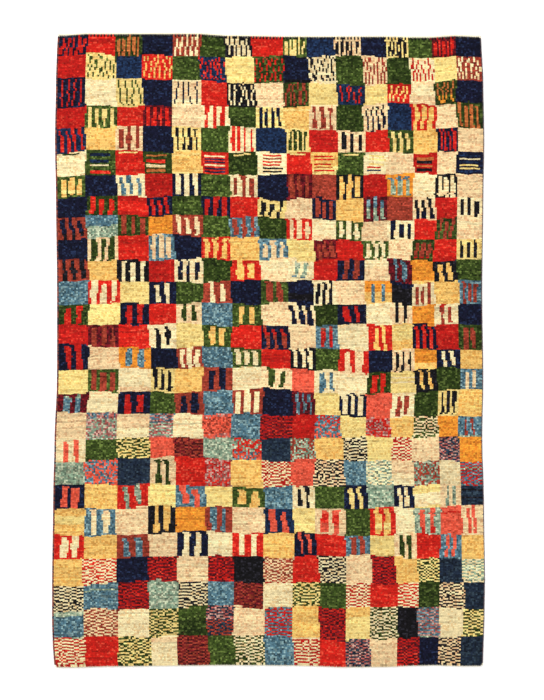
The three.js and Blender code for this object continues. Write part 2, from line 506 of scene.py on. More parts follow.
# Ground: the woven wool cloth that the knots are tied on, packed tight with the feet of the
# pile. Its back lies flat on the floor and shows the colours of the knots.
NEAR_STRIP, FAR_STRIP = 6 * MM, 9.5 * MM
CORNER_MARGIN = 1.5 * MM
PILE_TOP = 12.2 * MM
PILE_RISE = 2.0 * MM
ROUNDING = 6 * MM
CLOTH_WIDTH, CLOTH_LENGTH = 1.2, 1.77
KNOT_WIDTH, KNOT_DEPTH = 4.8 * MM, 4.5 * MM
# The shears leave waves across, along and slantwise, given in radians a metre.
SHEARING_DEPTH = 0.175 * MM
WAVES_ACROSS, WAVES_ALONG, WAVES_SLANTWISE = 15.3, 11.9, 21.7
# The slab's top, or bed, and its back have a point every so many knots.
BED_KNOTS, BACK_KNOTS = 4, 2
BED_BELOW_FEET = 0.3 * MM
BACK_HEIGHT = 0.1 * MM
BACK_RELIEF, BACK_BUMP = 0.5 * MM, 0.8
# The knots' colours are painted darker on the bed, as painted shade deep in the pile, and on the
# walls, as painted shade under the edge locks; on the back they are a little darker.
BED_PAINTED_SHADE, BACK_SHADE, WALL_PAINTED_SHADE = 0.5, 0.85, 0.7
# The back has the left of the colour chart, the bed a narrow column, the walls the top.
BACK_CHART = (0.67, 0.96)
BED_CHART, BED_CHART_START = (0.3, 0.96), (0.69, 0.0)
WALL_CHART = ((0.1, 0.5, 0.9), (0.98, 0.995, 0.98))
# How the solid's outline is read: points this low are its rim, one is kept for each step, and
# those of the two ends lie beyond this distance from the middle.
RIM_HEIGHT = 0.5 * MM
OUTLINE_STEP = 20 * MM
ENDS_BEYOND = 0.5
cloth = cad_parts["rug_cloth"]


def outer_line(points, along, outward):
    """The outermost line of points on one side: where they are along it, and how far out."""
    slices = (points[:, along] / OUTLINE_STEP).round()
    across = 1 - along
    chosen = [
        max(points[slices == s], key=lambda p: p[across] * outward) for s in np.unique(slices)
    ]
    return np.array([p[along] for p in chosen]), np.array([p[across] for p in chosen])


def read_outline():
    """The cloth's four edges on the floor, read off its solid."""
    points = np.array([v.co for v in cloth.data.vertices])
    rim = points[points[:, 2] < RIM_HEIGHT][:, :2]
    left_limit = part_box("side_cord_left")[1].x + CORNER_MARGIN
    right_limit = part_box("side_cord_right")[0].x - CORNER_MARGIN
    between = rim[(rim[:, 0] > left_limit) & (rim[:, 0] < right_limit)]
    return {
        "left": outer_line(rim[rim[:, 0] < left_limit], 1, -1),
        "right": outer_line(rim[rim[:, 0] > right_limit], 1, 1),
        "near": outer_line(between[between[:, 1] < -ENDS_BEYOND], 0, -1),
        "far": outer_line(between[between[:, 1] > ENDS_BEYOND], 0, 1),
    }


outline = read_outline()


def place(u, v, near_inset=NEAR_STRIP, far_inset=FAR_STRIP):
    """A place on the pile: u from the left side to the right one, v from near end to far."""
    rough_x = (u - 0.5) * (outline["right"][1].mean() - outline["left"][1].mean())
    near = np.interp(rough_x, *outline["near"]) + near_inset
    far = np.interp(rough_x, *outline["far"]) - far_inset
    y = near + (far - near) * v
    left = np.interp(y, *outline["left"])
    right = np.interp(y, *outline["right"])
    return left + (right - left) * u, y


def from_edge(u, v):
    """How far a place on the pile is from its nearest edge."""
    return np.minimum(np.minimum(u, 1 - u) * CLOTH_WIDTH, np.minimum(v, 1 - v) * CLOTH_LENGTH)


def sheared_height(x, y, inset):
    """Where the shears left the pile: a little uneven, and rounded off at the edges."""
    uneven = np.sin(x * WAVES_ACROSS) * np.sin(y * WAVES_ALONG + 1)
    uneven = uneven + np.sin((x + y) * WAVES_SLANTWISE + 2)
    lost = ROUNDING - np.sqrt(ROUNDING ** 2 - np.maximum(0, ROUNDING - inset) ** 2)
    return PILE_TOP + SHEARING_DEPTH * uneven - lost


def add_piece(name, points, faces, chart, material, colours):
    """A smooth mesh from numpy arrays, with a colour for each point or each face corner."""
    mesh = bpy.data.meshes.new(name)
    mesh.vertices.add(len(points))
    mesh.vertices.foreach_set("co", points.astype(np.float32).ravel())
    mesh.loops.add(faces.size)
    mesh.loops.foreach_set("vertex_index", faces.astype(np.int32).ravel())
    mesh.polygons.add(len(faces))
    mesh.polygons.foreach_set("loop_start", np.arange(0, faces.size, faces.shape[1]))
    mesh.update(calc_edges=True)
    mesh.shade_smooth()
    domain = "POINT" if len(colours) == len(points) else "CORNER"
    yarn = mesh.color_attributes.new(name="yarn", type="FLOAT_COLOR", domain=domain)
    with_alpha = np.column_stack([colours, np.ones(len(colours))])
    yarn.data.foreach_set("color", with_alpha.astype(np.float32).ravel())
    uv = mesh.uv_layers.new(name="OFBake")
    uv.uv.foreach_set("vector", chart.astype(np.float32).ravel())
    mesh.materials.append(material)
    piece = bpy.data.objects.new(name, mesh)
    bpy.context.scene.collection.objects.link(piece)
    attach(piece, "root")
    return piece


def new_group(name, inputs, outputs):
    """An empty shader group with its sockets, and its input and output nodes."""
    group = bpy.data.node_groups.new(name, "ShaderNodeTree")
    for label, kind, value in inputs:
        socket = group.interface.new_socket(label, in_out="INPUT", socket_type=kind)
        socket.default_value = value
    for label, kind in outputs:
        group.interface.new_socket(label, in_out="OUTPUT", socket_type=kind)
    return group, group.nodes.new("NodeGroupInput"), group.nodes.new("NodeGroupOutput")


def noise(group, stretch, scale, detail):
    """A noise over places in metres along the rug, stretched so many times each way."""
    where = group.nodes.new("ShaderNodeTexCoord")
    mapping = group.nodes.new("ShaderNodeMapping")
    mapping.inputs["Scale"].default_value = stretch
    group.links.new(where.outputs["Object"], mapping.inputs["Vector"])
    node = group.nodes.new("ShaderNodeTexNoise")
    node.inputs["Scale"].default_value = scale
    node.inputs["Detail"].default_value = detail
    group.links.new(mapping.outputs["Vector"], node.inputs["Vector"])
    return node.outputs["Fac"]


def math_node(group, operation, *values):
    node = group.nodes.new("ShaderNodeMath")
    node.operation = operation
    for i, value in enumerate(values):
        if isinstance(value, float):
            node.inputs[i].default_value = value
        else:
            group.links.new(value, node.inputs[i])
    return node.outputs[0]


NOISE_MIDDLE = (0.3, 0.7)


def spread(group, value, low, high):
    """A noise's middle range, spread from low to high."""
    node = group.nodes.new("ShaderNodeMapRange")
    node.inputs["From Min"].default_value = NOISE_MIDDLE[0]
    node.inputs["From Max"].default_value = NOISE_MIDDLE[1]
    for label, end in (("To Min", low), ("To Max", high)):
        if isinstance(end, float):
            node.inputs[label].default_value = end
        else:
            group.links.new(end, node.inputs[label])
    group.links.new(value, node.inputs["Value"])
    return node.outputs["Result"]


def about_one(group, value, amount):
    """A noise turned into a shade that swings about 1 by the amount."""
    low = math_node(group, "SUBTRACT", 1.0, amount)
    high = math_node(group, "ADD", 1.0, amount)
    return spread(group, value, low, high)


def shade_colour(group, colour, shade):
    """A colour made lighter or darker by a number."""
    node = group.nodes.new("ShaderNodeVectorMath")
    node.operation = "SCALE"
    group.links.new(colour, node.inputs[0])
    group.links.new(shade, node.inputs["Scale"])
    return node.outputs[0]


# Hand-spun wool: its single fibres, the clumps that they make, and how the dye took.
FIBRES = dict(stretch=(1.6, 1.0, 0.6), scale=1500, detail=3)
CLUMPS = dict(stretch=(1, 1, 1), scale=260, detail=2)
DYE_PATCHES = dict(stretch=(0.35, 1, 1), scale=32, detail=2)
WOOL_ROUGHNESS = (0.82, 0.98)
WOOL_SHINE = 0.08
SHEEN_ROUGHNESS = 0.5
FIBRE_RELIEF = 0.5 * MM


def make_spun_wool():
    """Hand-spun wool: fine fibres, thick and thin places, and a slight unevenness of dye."""
    group, given, result = new_group(
        "spun wool",
        [
            ("Colour", "NodeSocketColor", (0.5, 0.5, 0.5, 1)),
            ("Fibre", "NodeSocketFloat", 0.1),
            ("Dye", "NodeSocketFloat", 0.06),
            ("Depth", "NodeSocketFloat", 0.3),
        ],
        [
            ("Colour", "NodeSocketColor"),
            ("Roughness", "NodeSocketFloat"),
            ("Normal", "NodeSocketVector"),
        ],
    )
    fibres = noise(group, **FIBRES)
    clumps = noise(group, **CLUMPS)
    dye = noise(group, **DYE_PATCHES)
    fibre_shade = about_one(group, fibres, given.outputs["Fibre"])
    dye_shade = about_one(group, dye, given.outputs["Dye"])
    shade = math_node(group, "MULTIPLY", fibre_shade, dye_shade)
    shaded = shade_colour(group, given.outputs["Colour"], shade)
    group.links.new(shaded, result.inputs["Colour"])
    group.links.new(spread(group, clumps, *WOOL_ROUGHNESS), result.inputs["Roughness"])
    bump = group.nodes.new("ShaderNodeBump")
    bump.inputs["Distance"].default_value = FIBRE_RELIEF
    relief = math_node(group, "ADD", fibres, clumps)
    group.links.new(relief, bump.inputs["Height"])
    group.links.new(given.outputs["Depth"], bump.inputs["Strength"])
    group.links.new(bump.outputs["Normal"], result.inputs["Normal"])
    return group


spun_wool = make_spun_wool()


def wool_material(name, fibre, dye, depth, sheen, painted_shade_attribute=None):
    """Wool whose colour comes from the mesh's yarn, darkened by the mesh's painted shade if it has
    one.
    """
    material = bpy.data.materials.new(name)
    material.use_nodes = True
    tree = material.node_tree
    surface = tree.nodes["Principled BSDF"]
    surface.inputs["Specular IOR Level"].default_value = WOOL_SHINE
    surface.inputs["Sheen Weight"].default_value = sheen
    surface.inputs["Sheen Roughness"].default_value = SHEEN_ROUGHNESS
    yarn = tree.nodes.new("ShaderNodeAttribute")
    yarn.attribute_name = "yarn"
    wool = tree.nodes.new("ShaderNodeGroup")
    wool.node_tree = spun_wool
    wool.inputs["Fibre"].default_value = fibre
    wool.inputs["Dye"].default_value = dye
    wool.inputs["Depth"].default_value = depth
    colour = yarn.outputs["Color"]
    if painted_shade_attribute:
        shade = tree.nodes.new("ShaderNodeAttribute")
        shade.attribute_name = painted_shade_attribute
        colour = shade_colour(tree, colour, shade.outputs["Fac"])
    tree.links.new(colour, wool.inputs["Colour"])
    tree.links.new(wool.outputs["Colour"], surface.inputs["Base Color"])
    tree.links.new(wool.outputs["Roughness"], surface.inputs["Roughness"])
    tree.links.new(wool.outputs["Normal"], surface.inputs["Normal"])
    return material


def add_knotted_back(material):
    """The rows of knots that show on a rug's back, as relief under the wool's own."""
    tree = material.node_tree
    parts = tree.nodes.new("ShaderNodeSeparateXYZ")
    where = tree.nodes.new("ShaderNodeTexCoord")
    tree.links.new(where.outputs["Object"], parts.inputs["Vector"])
    waves = [
        math_node(tree, "SINE", math_node(tree, "MULTIPLY", parts.outputs[axis], 2 * np.pi / pitch))
        for axis, pitch in (("X", KNOT_WIDTH / 2), ("Y", KNOT_DEPTH))
    ]
    bump = tree.nodes.new("ShaderNodeBump")
    bump.inputs["Distance"].default_value = BACK_RELIEF
    bump.inputs["Strength"].default_value = BACK_BUMP
    tree.links.new(math_node(tree, "ADD", *waves), bump.inputs["Height"])
    wool_normal = tree.nodes["Group"].outputs["Normal"]
    tree.links.new(wool_normal, bump.inputs["Normal"])
    tree.links.new(bump.outputs["Normal"], tree.nodes["Principled BSDF"].inputs["Normal"])


def colour_at(u, v):
    """The colour of the knot at a place, v counted from the near end."""
    knot = np.clip((u * KNOTS_ACROSS).astype(int), 0, KNOTS_ACROSS - 1)
    row = np.clip(((1 - v) * KNOT_ROWS).astype(int), 0, KNOT_ROWS - 1)
    return knot_colours[row, knot]


def cloth_grid(knots):
    """Shares of the cloth's width and length, so many knots apart."""
    return np.meshgrid(
        np.arange(0, KNOTS_ACROSS + 1, knots) / KNOTS_ACROSS,
        np.arange(0, KNOT_ROWS + 1, knots) / KNOT_ROWS,
    )


def grid_triangles(number):
    """Two triangles for each cell of a grid of points, facing up."""
    near_left, near_right = number[:-1, :-1], number[:-1, 1:]
    far_left, far_right = number[1:, :-1], number[1:, 1:]
    first = np.stack([near_left, near_right, far_right], axis=-1)
    second = np.stack([near_left, far_right, far_left], axis=-1)
    return np.stack([first, second], axis=2).reshape(-1, 3)


def border(number):
    """The outermost points of a grid, once round against the clock, the first one again last."""
    return np.concatenate([number[0], number[1:, -1], number[-1, -2::-1], number[-2::-1, 0]])


def wall_triangles(upper, lower):
    """A wall between a border and one with twice as many points below it, facing out."""
    start, end = upper[:-1], upper[1:]
    below, middle, beyond = lower[:-2:2], lower[1:-1:2], lower[2::2]
    return np.stack([
        np.stack([start, below, middle], axis=-1),
        np.stack([start, middle, end], axis=-1),
        np.stack([end, middle, beyond], axis=-1),
    ], axis=1).reshape(-1, 3)


def cell_colours(u, v, shade):
    """A colour for each corner of a grid's triangles, the same all over a cell."""
    middle_u = (u[:-1, :-1] + u[1:, 1:]) / 2
    middle_v = (v[:-1, :-1] + v[1:, 1:]) / 2
    return colour_at(middle_u, middle_v).reshape(-1, 3).repeat(6, axis=0) * shade


def add_ground():
    """A closed slab: its back on the floor, its top just under the tips of the pile."""
    bed_u, bed_v = cloth_grid(BED_KNOTS)
    back_u, back_v = cloth_grid(BACK_KNOTS)
    bed_x, bed_y = place(bed_u, bed_v)
    back_x, back_y = place(back_u, back_v)
    bed_z = sheared_height(bed_x, bed_y, from_edge(bed_u, bed_v)) - PILE_RISE - BED_BELOW_FEET
    points = np.concatenate([
        np.stack([bed_x, bed_y, bed_z], axis=-1).reshape(-1, 3),
        np.stack([back_x, back_y, np.full_like(back_x, BACK_HEIGHT)], axis=-1).reshape(-1, 3),
    ])
    bed = np.arange(bed_x.size).reshape(bed_x.shape)
    back = np.arange(back_x.size).reshape(back_x.shape) + bed_x.size
    walls = wall_triangles(border(bed), border(back))
    faces = np.concatenate([grid_triangles(bed), grid_triangles(back)[:, ::-1], walls])
    u = np.concatenate([bed_u.ravel(), back_u.ravel()])
    v = np.concatenate([bed_v.ravel(), back_v.ravel()])
    # Painted shade: the walls' and the bed's knot colours are darkened.
    wall_colours = colour_at(u[walls].mean(1), v[walls].mean(1)).repeat(3, axis=0) * WALL_PAINTED_SHADE
    colours = np.concatenate([
        cell_colours(bed_u, bed_v, BED_PAINTED_SHADE), cell_colours(back_u, back_v, BACK_SHADE), wall_colours,
    ])
    shares = np.stack([u, v], axis=-1)
    shares[:bed.size] = shares[:bed.size] * BED_CHART + BED_CHART_START
    shares[bed.size:] = shares[bed.size:] * BACK_CHART
    chart = shares[faces]
    along_wall = (np.arange(len(walls))[:, None] + np.array(WALL_CHART[0])) / len(walls)
    chart[-len(walls):, :, 0] = along_wall
    chart[-len(walls):, :, 1] = WALL_CHART[1]
    material = wool_material("knotted ground", fibre=0.14, dye=0.06, depth=0.5, sheen=0.1)
    add_knotted_back(material)
    ground = add_piece("rug_ground", points, faces, chart, material, colours)
    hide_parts("rug_cloth")
    return ground


ground = add_ground()


# Pile: a tuft for every knot, the knot's two yarn ends side by side, sheared by hand. The tufts
# lean towards the near end, as a knotted pile does, and each stands a little differently.
TUFT_LEAN = 0.9 * MM
TUFT_OVERLAP = 1.16
YARN_END_SPACING = 2.3 * MM
NOTCH_DEPTH = 0.7 * MM
TURN = 0.2
HEIGHT_SPREAD = 0.22 * MM
PLACE_SPREAD, ALONG_SHARE = 0.25 * MM, 0.6
LEAN_SPREAD = 0.3 * MM
TIP_SPREAD = (0.25 * MM, 0.3 * MM, 0.2 * MM)
ROW_WANDER, WANDER_KNOTS, WANDER_ROWS = 1.1 * MM, 3, 5
CALM_AT_ENDS = 0.4
# The tufts are painted darker at their feet and at the notch between their tips: painted shade deep
# in the pile.
FOOT_PAINTED_SHADE, NOTCH_PAINTED_SHADE = 0.6, 0.8
PILE_PIECES = 5
tufting = np.random.default_rng(77)

# A tuft's faces by its points: four corners at its foot, two tips, and the notch between them.
CORNERS = ((-1, -1), (1, -1), (1, 1), (-1, 1))
TUFT_FACES = np.array([
    [0, 1, 6], [0, 6, 4], [1, 5, 6], [2, 3, 6], [3, 4, 6], [2, 6, 5], [3, 0, 4], [1, 2, 5],
])
TUFT_CHART = np.array([
    [0.04, 0.04], [0.96, 0.04], [0.96, 0.96], [0.04, 0.96], [0.25, 0.5], [0.75, 0.5], [0.5, 0.5],
])[TUFT_FACES]
# Painted shade at each of a tuft's points: darker at the foot and the notch, full at the tips.
TUFT_PAINTED_SHADE = np.array([FOOT_PAINTED_SHADE] * 4 + [1.0, 1.0, NOTCH_PAINTED_SHADE])


def add_units(name, points, unit_faces, unit_chart, unit_painted_shade, material, colours):
    """Many small shapes of one kind as one mesh, each with its own cell of the colour chart and a
    painted shade at each of its points.
    """
    count, corners = points.shape[:2]
    faces = (np.arange(count)[:, None, None] * corners + unit_faces).reshape(-1, 3)
    side = int(np.ceil(np.sqrt(count)))
    cell = np.stack([np.arange(count) % side, np.arange(count) // side], axis=-1)
    chart = (cell[:, None, None, :] + unit_chart) / side
    piece = add_piece(
        name, points.reshape(-1, 3), faces, chart, material, colours.repeat(corners, axis=0)
    )
    # The points' painted shade goes into the attribute named tip, which the wool material multiplies
    # into the yarn colour.
    tip = piece.data.attributes.new("tip", "FLOAT", "POINT")
    tip.data.foreach_set("value", np.tile(unit_painted_shade, count).astype(np.float32))
    return piece


def row_wander():
    """How far each knot is off its row: the rows run in small waves, less so at the edges."""
    across = np.arange(KNOTS_ACROSS) / WANDER_KNOTS
    down = np.arange(KNOT_ROWS) / WANDER_ROWS
    marks = tufting.normal(0, ROW_WANDER, (int(down[-1]) + 2, int(across[-1]) + 2))
    lines = [np.interp(down, np.arange(len(marks)), column) for column in marks.T]
    off = np.array([np.interp(across, np.arange(len(lines)), line) for line in np.transpose(lines)])
    calm = np.clip(np.minimum(down, down[::-1]) - CALM_AT_ENDS, 0, 1)
    return off * calm[:, None]


def tuft_places():
    """Each knot's place, by knot row from the far end, with its unevenness."""
    row, knot = np.mgrid[0:KNOT_ROWS, 0:KNOTS_ACROSS]
    u = (knot + 0.5) / KNOTS_ACROSS
    v = 1 - (row + 0.5) / KNOT_ROWS
    x, y = place(u, v)
    top = sheared_height(x, y, from_edge(u, v)) + tufting.normal(0, HEIGHT_SPREAD, x.shape)
    x = x + tufting.normal(0, PLACE_SPREAD, x.shape)
    y = y + tufting.normal(0, PLACE_SPREAD * ALONG_SHARE, x.shape) + row_wander()
    return np.stack([x, y, top], axis=-1)


def tuft_points(places):
    """The points of each tuft, turned a little about its own middle."""
    count = len(places)
    turn = tufting.normal(0, TURN, count)
    half_width, half_depth = KNOT_WIDTH / 2 * TUFT_OVERLAP, KNOT_DEPTH / 2 * TUFT_OVERLAP
    lean = -TUFT_LEAN + tufting.normal(0, LEAN_SPREAD, count)
    shape = np.zeros((count, 7, 3))
    for corner, (across, along) in enumerate(CORNERS):
        shape[:, corner] = (across * half_width, along * half_depth, -PILE_RISE)
    for point, side in ((4, -0.5), (5, 0.5)):
        shape[:, point, 0] = side * YARN_END_SPACING + tufting.normal(0, TIP_SPREAD[0], count)
        shape[:, point, 1] = lean + tufting.normal(0, TIP_SPREAD[1], count)
        shape[:, point, 2] = tufting.normal(0, TIP_SPREAD[2], count)
    shape[:, 6, 1] = lean
    shape[:, 6, 2] = -NOTCH_DEPTH
    cos, sin = np.cos(turn)[:, None], np.sin(turn)[:, None]
    turned = np.stack([
        shape[:, :, 0] * cos - shape[:, :, 1] * sin,
        shape[:, :, 0] * sin + shape[:, :, 1] * cos,
        shape[:, :, 2],
    ], axis=-1)
    return turned + places[:, None, :]


def add_pile(material):
    """Long pieces side by side, each some fifty knots wide."""
    places = tuft_places()
    pieces = []
    for number, knots in enumerate(np.array_split(np.arange(KNOTS_ACROSS), PILE_PIECES)):
        points = tuft_points(places[:, knots].reshape(-1, 3))
        colours = knot_colours[:, knots].reshape(-1, 3)
        piece = add_units(f"pile_{number + 1}", points, TUFT_FACES, TUFT_CHART, TUFT_PAINTED_SHADE,
                          material, colours)
        pieces.append(piece)
    return pieces


pile_wool = wool_material(
    "wool pile", fibre=0.24, dye=0.07, depth=0.6, sheen=0.1, painted_shade_attribute="tip"
)
pile = add_pile(pile_wool)


# Pile edge: the outermost knots have nothing beside them, so their yarn ends lean out over the
# side cords and the end strips, furthest on the right and at the near end.
LOCKS_PER_KNOT = 2
LOCK_HEIGHTS = (2.6 * MM, 6.0 * MM, 9.2 * MM)
LOCK_TIP = 11.0 * MM
LOCK_REACH = (-3.2 * MM, -0.9 * MM, -0.2 * MM)
LOCK_THICKNESS = (1.0 * MM, 1.35 * MM, 1.1 * MM)
LOCK_OVERHANG = dict(left=0.4 * MM, right=3.2 * MM, near=3.0 * MM, far=1.2 * MM)
LOCK_DEPTH = (1.0, 1.4, 2.0)
LOCK_LEAN = (0.0, 0.4, 0.8)
# Each ring of a lock is painted darker the lower it stands: painted shade towards its root.
LOCK_PAINTED_SHADE = (0.5, 0.75, 0.92)
LOCK_TIP_BACK = 1.6 * MM
LOCK_BEND, OVERHANG_SPREAD, LENGTH_SPREAD = 0.7 * MM, 0.35 * MM, 0.04
# How much of its cell of the colour chart a shape leaves free, and how much it fills.
CELL_START, CELL_FILL = 0.04, 0.92


def rod(rings, sides, start_tip, end_tip):
    """Faces and chart of a rod of rings of points, whose tips are the points after the rings."""
    faces, chart = [], []
    steps = rings - 1 + start_tip + end_tip

    def add(corners, spots):
        faces.append(corners)
        chart.append([
            (CELL_START + CELL_FILL * a / sides, CELL_START + CELL_FILL * b / steps)
            for a, b in spots
        ])

    for side in range(sides):
        turn = (side + 1) % sides
        for ring in range(rings - 1):
            low, high = ring * sides, (ring + 1) * sides
            at = ring + start_tip
            add((low + side, low + turn, high + turn),
                ((side, at), (side + 1, at), (side + 1, at + 1)))
            add((low + side, high + turn, high + side),
                ((side, at), (side + 1, at + 1), (side, at + 1)))
        if start_tip:
            add((turn, side, rings * sides), ((side + 1, 1), (side, 1), (side + 0.5, 0)))
        if end_tip:
            last = (rings - 1) * sides
            add((last + side, last + turn, rings * sides + start_tip),
                ((side, steps - 1), (side + 1, steps - 1), (side + 0.5, steps)))
    return np.array(faces), np.array(chart)


def edge_run(side):
    """Places along one edge of the pile, the way out there, and the knots' shares u and v."""
    knots = KNOT_ROWS if side in ("left", "right") else KNOTS_ACROSS
    share = (np.arange(knots * LOCKS_PER_KNOT) + 0.5) / (knots * LOCKS_PER_KNOT)
    fixed = np.full_like(share, 0.0 if side in ("left", "near") else 1.0)
    u, v = (fixed, share) if side in ("left", "right") else (share, fixed)
    x, y = place(u, v)
    outward = dict(left=(-1, 0), right=(1, 0), near=(0, -1), far=(0, 1))[side]
    return np.stack([x, y], axis=-1), np.array(outward), u, v


def lock_points(side):
    """Leaning locks of four-sided section: three rings of points and a tip."""
    spots, outward, u, v = edge_run(side)
    count = len(spots)
    along = np.array([-outward[1], outward[0]])
    bend = tufting.normal(0, LOCK_BEND, count)
    points = np.zeros((count, 13, 3))
    overhang = LOCK_OVERHANG[side] + tufting.normal(0, OVERHANG_SPREAD, count)
    height = 1 + tufting.normal(0, LENGTH_SPREAD, count)
    for ring in range(3):
        rise = LOCK_HEIGHTS[ring] * height
        reach = LOCK_REACH[ring] + overhang * LOCK_LEAN[ring]
        middle = spots + outward * reach[:, None] + along * (bend * ring / 3)[:, None]
        for corner, (aside, out) in enumerate(((1, 0), (0, 1), (-1, 0), (0, -1))):
            shift = (along * aside + outward * out * LOCK_DEPTH[ring]) * LOCK_THICKNESS[ring]
            points[:, ring * 4 + corner, :2] = middle + shift
            points[:, ring * 4 + corner, 2] = rise - out * 0.5 * LOCK_THICKNESS[ring]
    tip_reach = (overhang - LOCK_TIP_BACK)[:, None]
    points[:, 12, :2] = spots + outward * tip_reach + along * bend[:, None]
    points[:, 12, 2] = LOCK_TIP * height
    return points, colour_at(u, v)


def add_pile_edge():
    runs = [lock_points(side) for side in ("left", "right", "near", "far")]
    points = np.concatenate([points for points, _ in runs])
    colours = np.concatenate([colours for _, colours in runs])
    # Painted shade: the rings darker towards the root, the tip as it is.
    shade = np.append(np.repeat(LOCK_PAINTED_SHADE, 4), 1.0)
    edge = add_units("pile_edge", points, *rod(3, 4, 0, 1), shade, pile_wool, colours)
    return edge


pile_edge = add_pile_edge()


# End strips: at each end the warps are woven flat with undyed wool for a few picks, so that the
# knots can't slip off. The strips lie flat and have no fringe.
STRIP_TOP = 2.4 * MM
STRIP_SEGMENTS = 124
STRIP_WIDTHS = dict(near=NEAR_STRIP, far=FAR_STRIP)
STRIP_EDGE = 0.1 * MM
LIP_INSET, LIP_HEIGHT = 0.3 * MM, 2.1 * MM
PICK_WIDTH, PICK_OVERLAP = 1.5 * MM, 1.15
# Where the weft floats over a warp: its half length, its crown's, its foot and its height, and
# the share of that height at the crown's two ends.
FLOAT_REACH, FLOAT_CROWN = 1.9 * MM, 1.0 * MM
FLOAT_FOOT, FLOAT_HEIGHT = -0.3 * MM, 0.6 * MM
FLOAT_SHOULDER = 0.85
FLOAT_SIZES = (0.9, 1.05)
# How far a float strays, how much its dye differs, and the painted shade at its foot.
FLOAT_STRAY, FLOAT_DYE, FLOAT_FOOT_PAINTED_SHADE = 0.08 * MM, 0.05, 0.72
UNDYED = "#FBF3DA"
WEB_SHADE = 0.8
# The web's colour chart reaches this far either way, with a row for each point of its section.
CHART_REACH = 0.62
CHART_ROWS = (0.1, 0.35, 0.6, 0.85)
weaving = np.random.default_rng(31)


def across_strip(end, u, inset):
    """A place on an end strip, inset from the very end of the rug."""
    return place(u, np.zeros_like(u) if end == "near" else np.ones_like(u), inset, inset)


def add_strip_web(end, material):
    """The strip's body: a low bar that follows the end of the rug."""
    u = np.linspace(0, 1, STRIP_SEGMENTS + 1)
    width = STRIP_WIDTHS[end] - STRIP_EDGE
    section = (
        (STRIP_EDGE, STRIP_EDGE), (LIP_INSET, LIP_HEIGHT), (width, STRIP_TOP), (width, STRIP_EDGE),
    )
    points = np.zeros((len(u), 4, 3))
    for corner, (inset, height) in enumerate(section):
        points[:, corner, 0], points[:, corner, 1] = across_strip(end, u, inset)
        points[:, corner, 2] = height
    number = np.arange(len(u) * 4).reshape(-1, 4)
    number = np.column_stack([number, number[:, :1]])
    faces = grid_triangles(number)
    caps = np.array([[0, 1, 2], [0, 2, 3]])
    faces = np.concatenate([faces, caps, (caps + len(u) * 4 - 4)[:, ::-1]])
    if end == "near":
        faces = faces[:, ::-1]
    flat = points.reshape(-1, 3)
    chart_x = (flat[:, 0] + CHART_REACH) / (2 * CHART_REACH)
    share = np.stack([chart_x, np.tile(CHART_ROWS, len(u))], axis=-1)
    colours = np.tile(linear(UNDYED) * WEB_SHADE, (len(flat), 1))
    web = add_piece(f"end_strip_{end}", flat, faces, share[faces], material, colours)
    return web


def add_strip_weft(end, material):
    """The weft where it passes over the warps: each pick over every other one."""
    picks = round(STRIP_WIDTHS[end] / PICK_WIDTH)
    pick, stitch = np.mgrid[0:picks, 0:KNOTS_ACROSS]
    u = (stitch.ravel() + 0.5 * (pick.ravel() % 2) + 0.25) / KNOTS_ACROSS
    inset = (pick.ravel() + 0.5) * STRIP_WIDTHS[end] / picks
    x, y = across_strip(end, u, inset)
    count = len(x)
    half_width = PICK_WIDTH / 2 * PICK_OVERLAP
    shape = np.zeros((count, 7, 3))
    for corner, (along, aside) in enumerate(CORNERS):
        shape[:, corner] = (along * FLOAT_REACH, aside * half_width, FLOAT_FOOT)
    shape[:, 4] = (-FLOAT_CROWN, 0, FLOAT_HEIGHT * FLOAT_SHOULDER)
    shape[:, 5] = (FLOAT_CROWN, 0, FLOAT_HEIGHT * FLOAT_SHOULDER)
    shape[:, 6] = (0, 0, FLOAT_HEIGHT)
    shape *= weaving.uniform(*FLOAT_SIZES, (count, 1, 1))
    spots = np.stack([x, y, np.full(count, STRIP_TOP)], axis=-1)
    spots[:, :2] += weaving.normal(0, FLOAT_STRAY, (count, 2))
    colours = linear(UNDYED) * weaving.normal(1, FLOAT_DYE, (count, 1))
    # Painted shade: each float's four foot corners darker than its crown.
    shade = np.array([FLOAT_FOOT_PAINTED_SHADE] * 4 + [1.0, 1.0, 1.0])
    weft = add_units(f"end_weft_{end}", shape + spots[:, None, :], TUFT_FACES, TUFT_CHART, shade,
                     material, np.clip(colours, 0, 1))
    return weft


undyed_look = dict(fibre=0.1, dye=0.08, depth=0.35, sheen=0.15)
undyed_wool = wool_material("undyed weft wool", **undyed_look)
# The floats' wool takes their painted shade from the mesh.
undyed_with_painted_shade = wool_material("undyed weft wool, raised", **undyed_look, painted_shade_attribute="tip")
end_strips = [add_strip_web(end, undyed_wool) for end in ("near", "far")]
end_wefts = [add_strip_weft(end, undyed_with_painted_shade) for end in ("near", "far")]


# Twining: a dark yarn and one in the pile's colours, twined round the warps just outside the far
# end of the pile. The dark stitches stand beside the dark knots of the first row, and together
# they look like a row of dashes.
TWINE_DARK = ("#2E2710", "#221C14", "#3A2110")
STITCH_INSET = 6.3 * MM
STITCH_HEIGHT = 3.1 * MM
STITCH_SLANT = 0.35
STITCH_RINGS = ((-1.4 * MM, 0.8), (0.0, 1.0), (1.4 * MM, 0.8))
STITCH_SIDES = 6
STITCH_HALF_WIDTH, STITCH_HALF_HEIGHT = 2.0 * MM, 1.3 * MM
STITCH_TIP, TIP_DROP = 2.4 * MM, 0.6 * MM
STITCH_SIZES = (0.88, 1.08)
STITCH_DYE, BETWEEN_SHADE = 0.07, 0.85


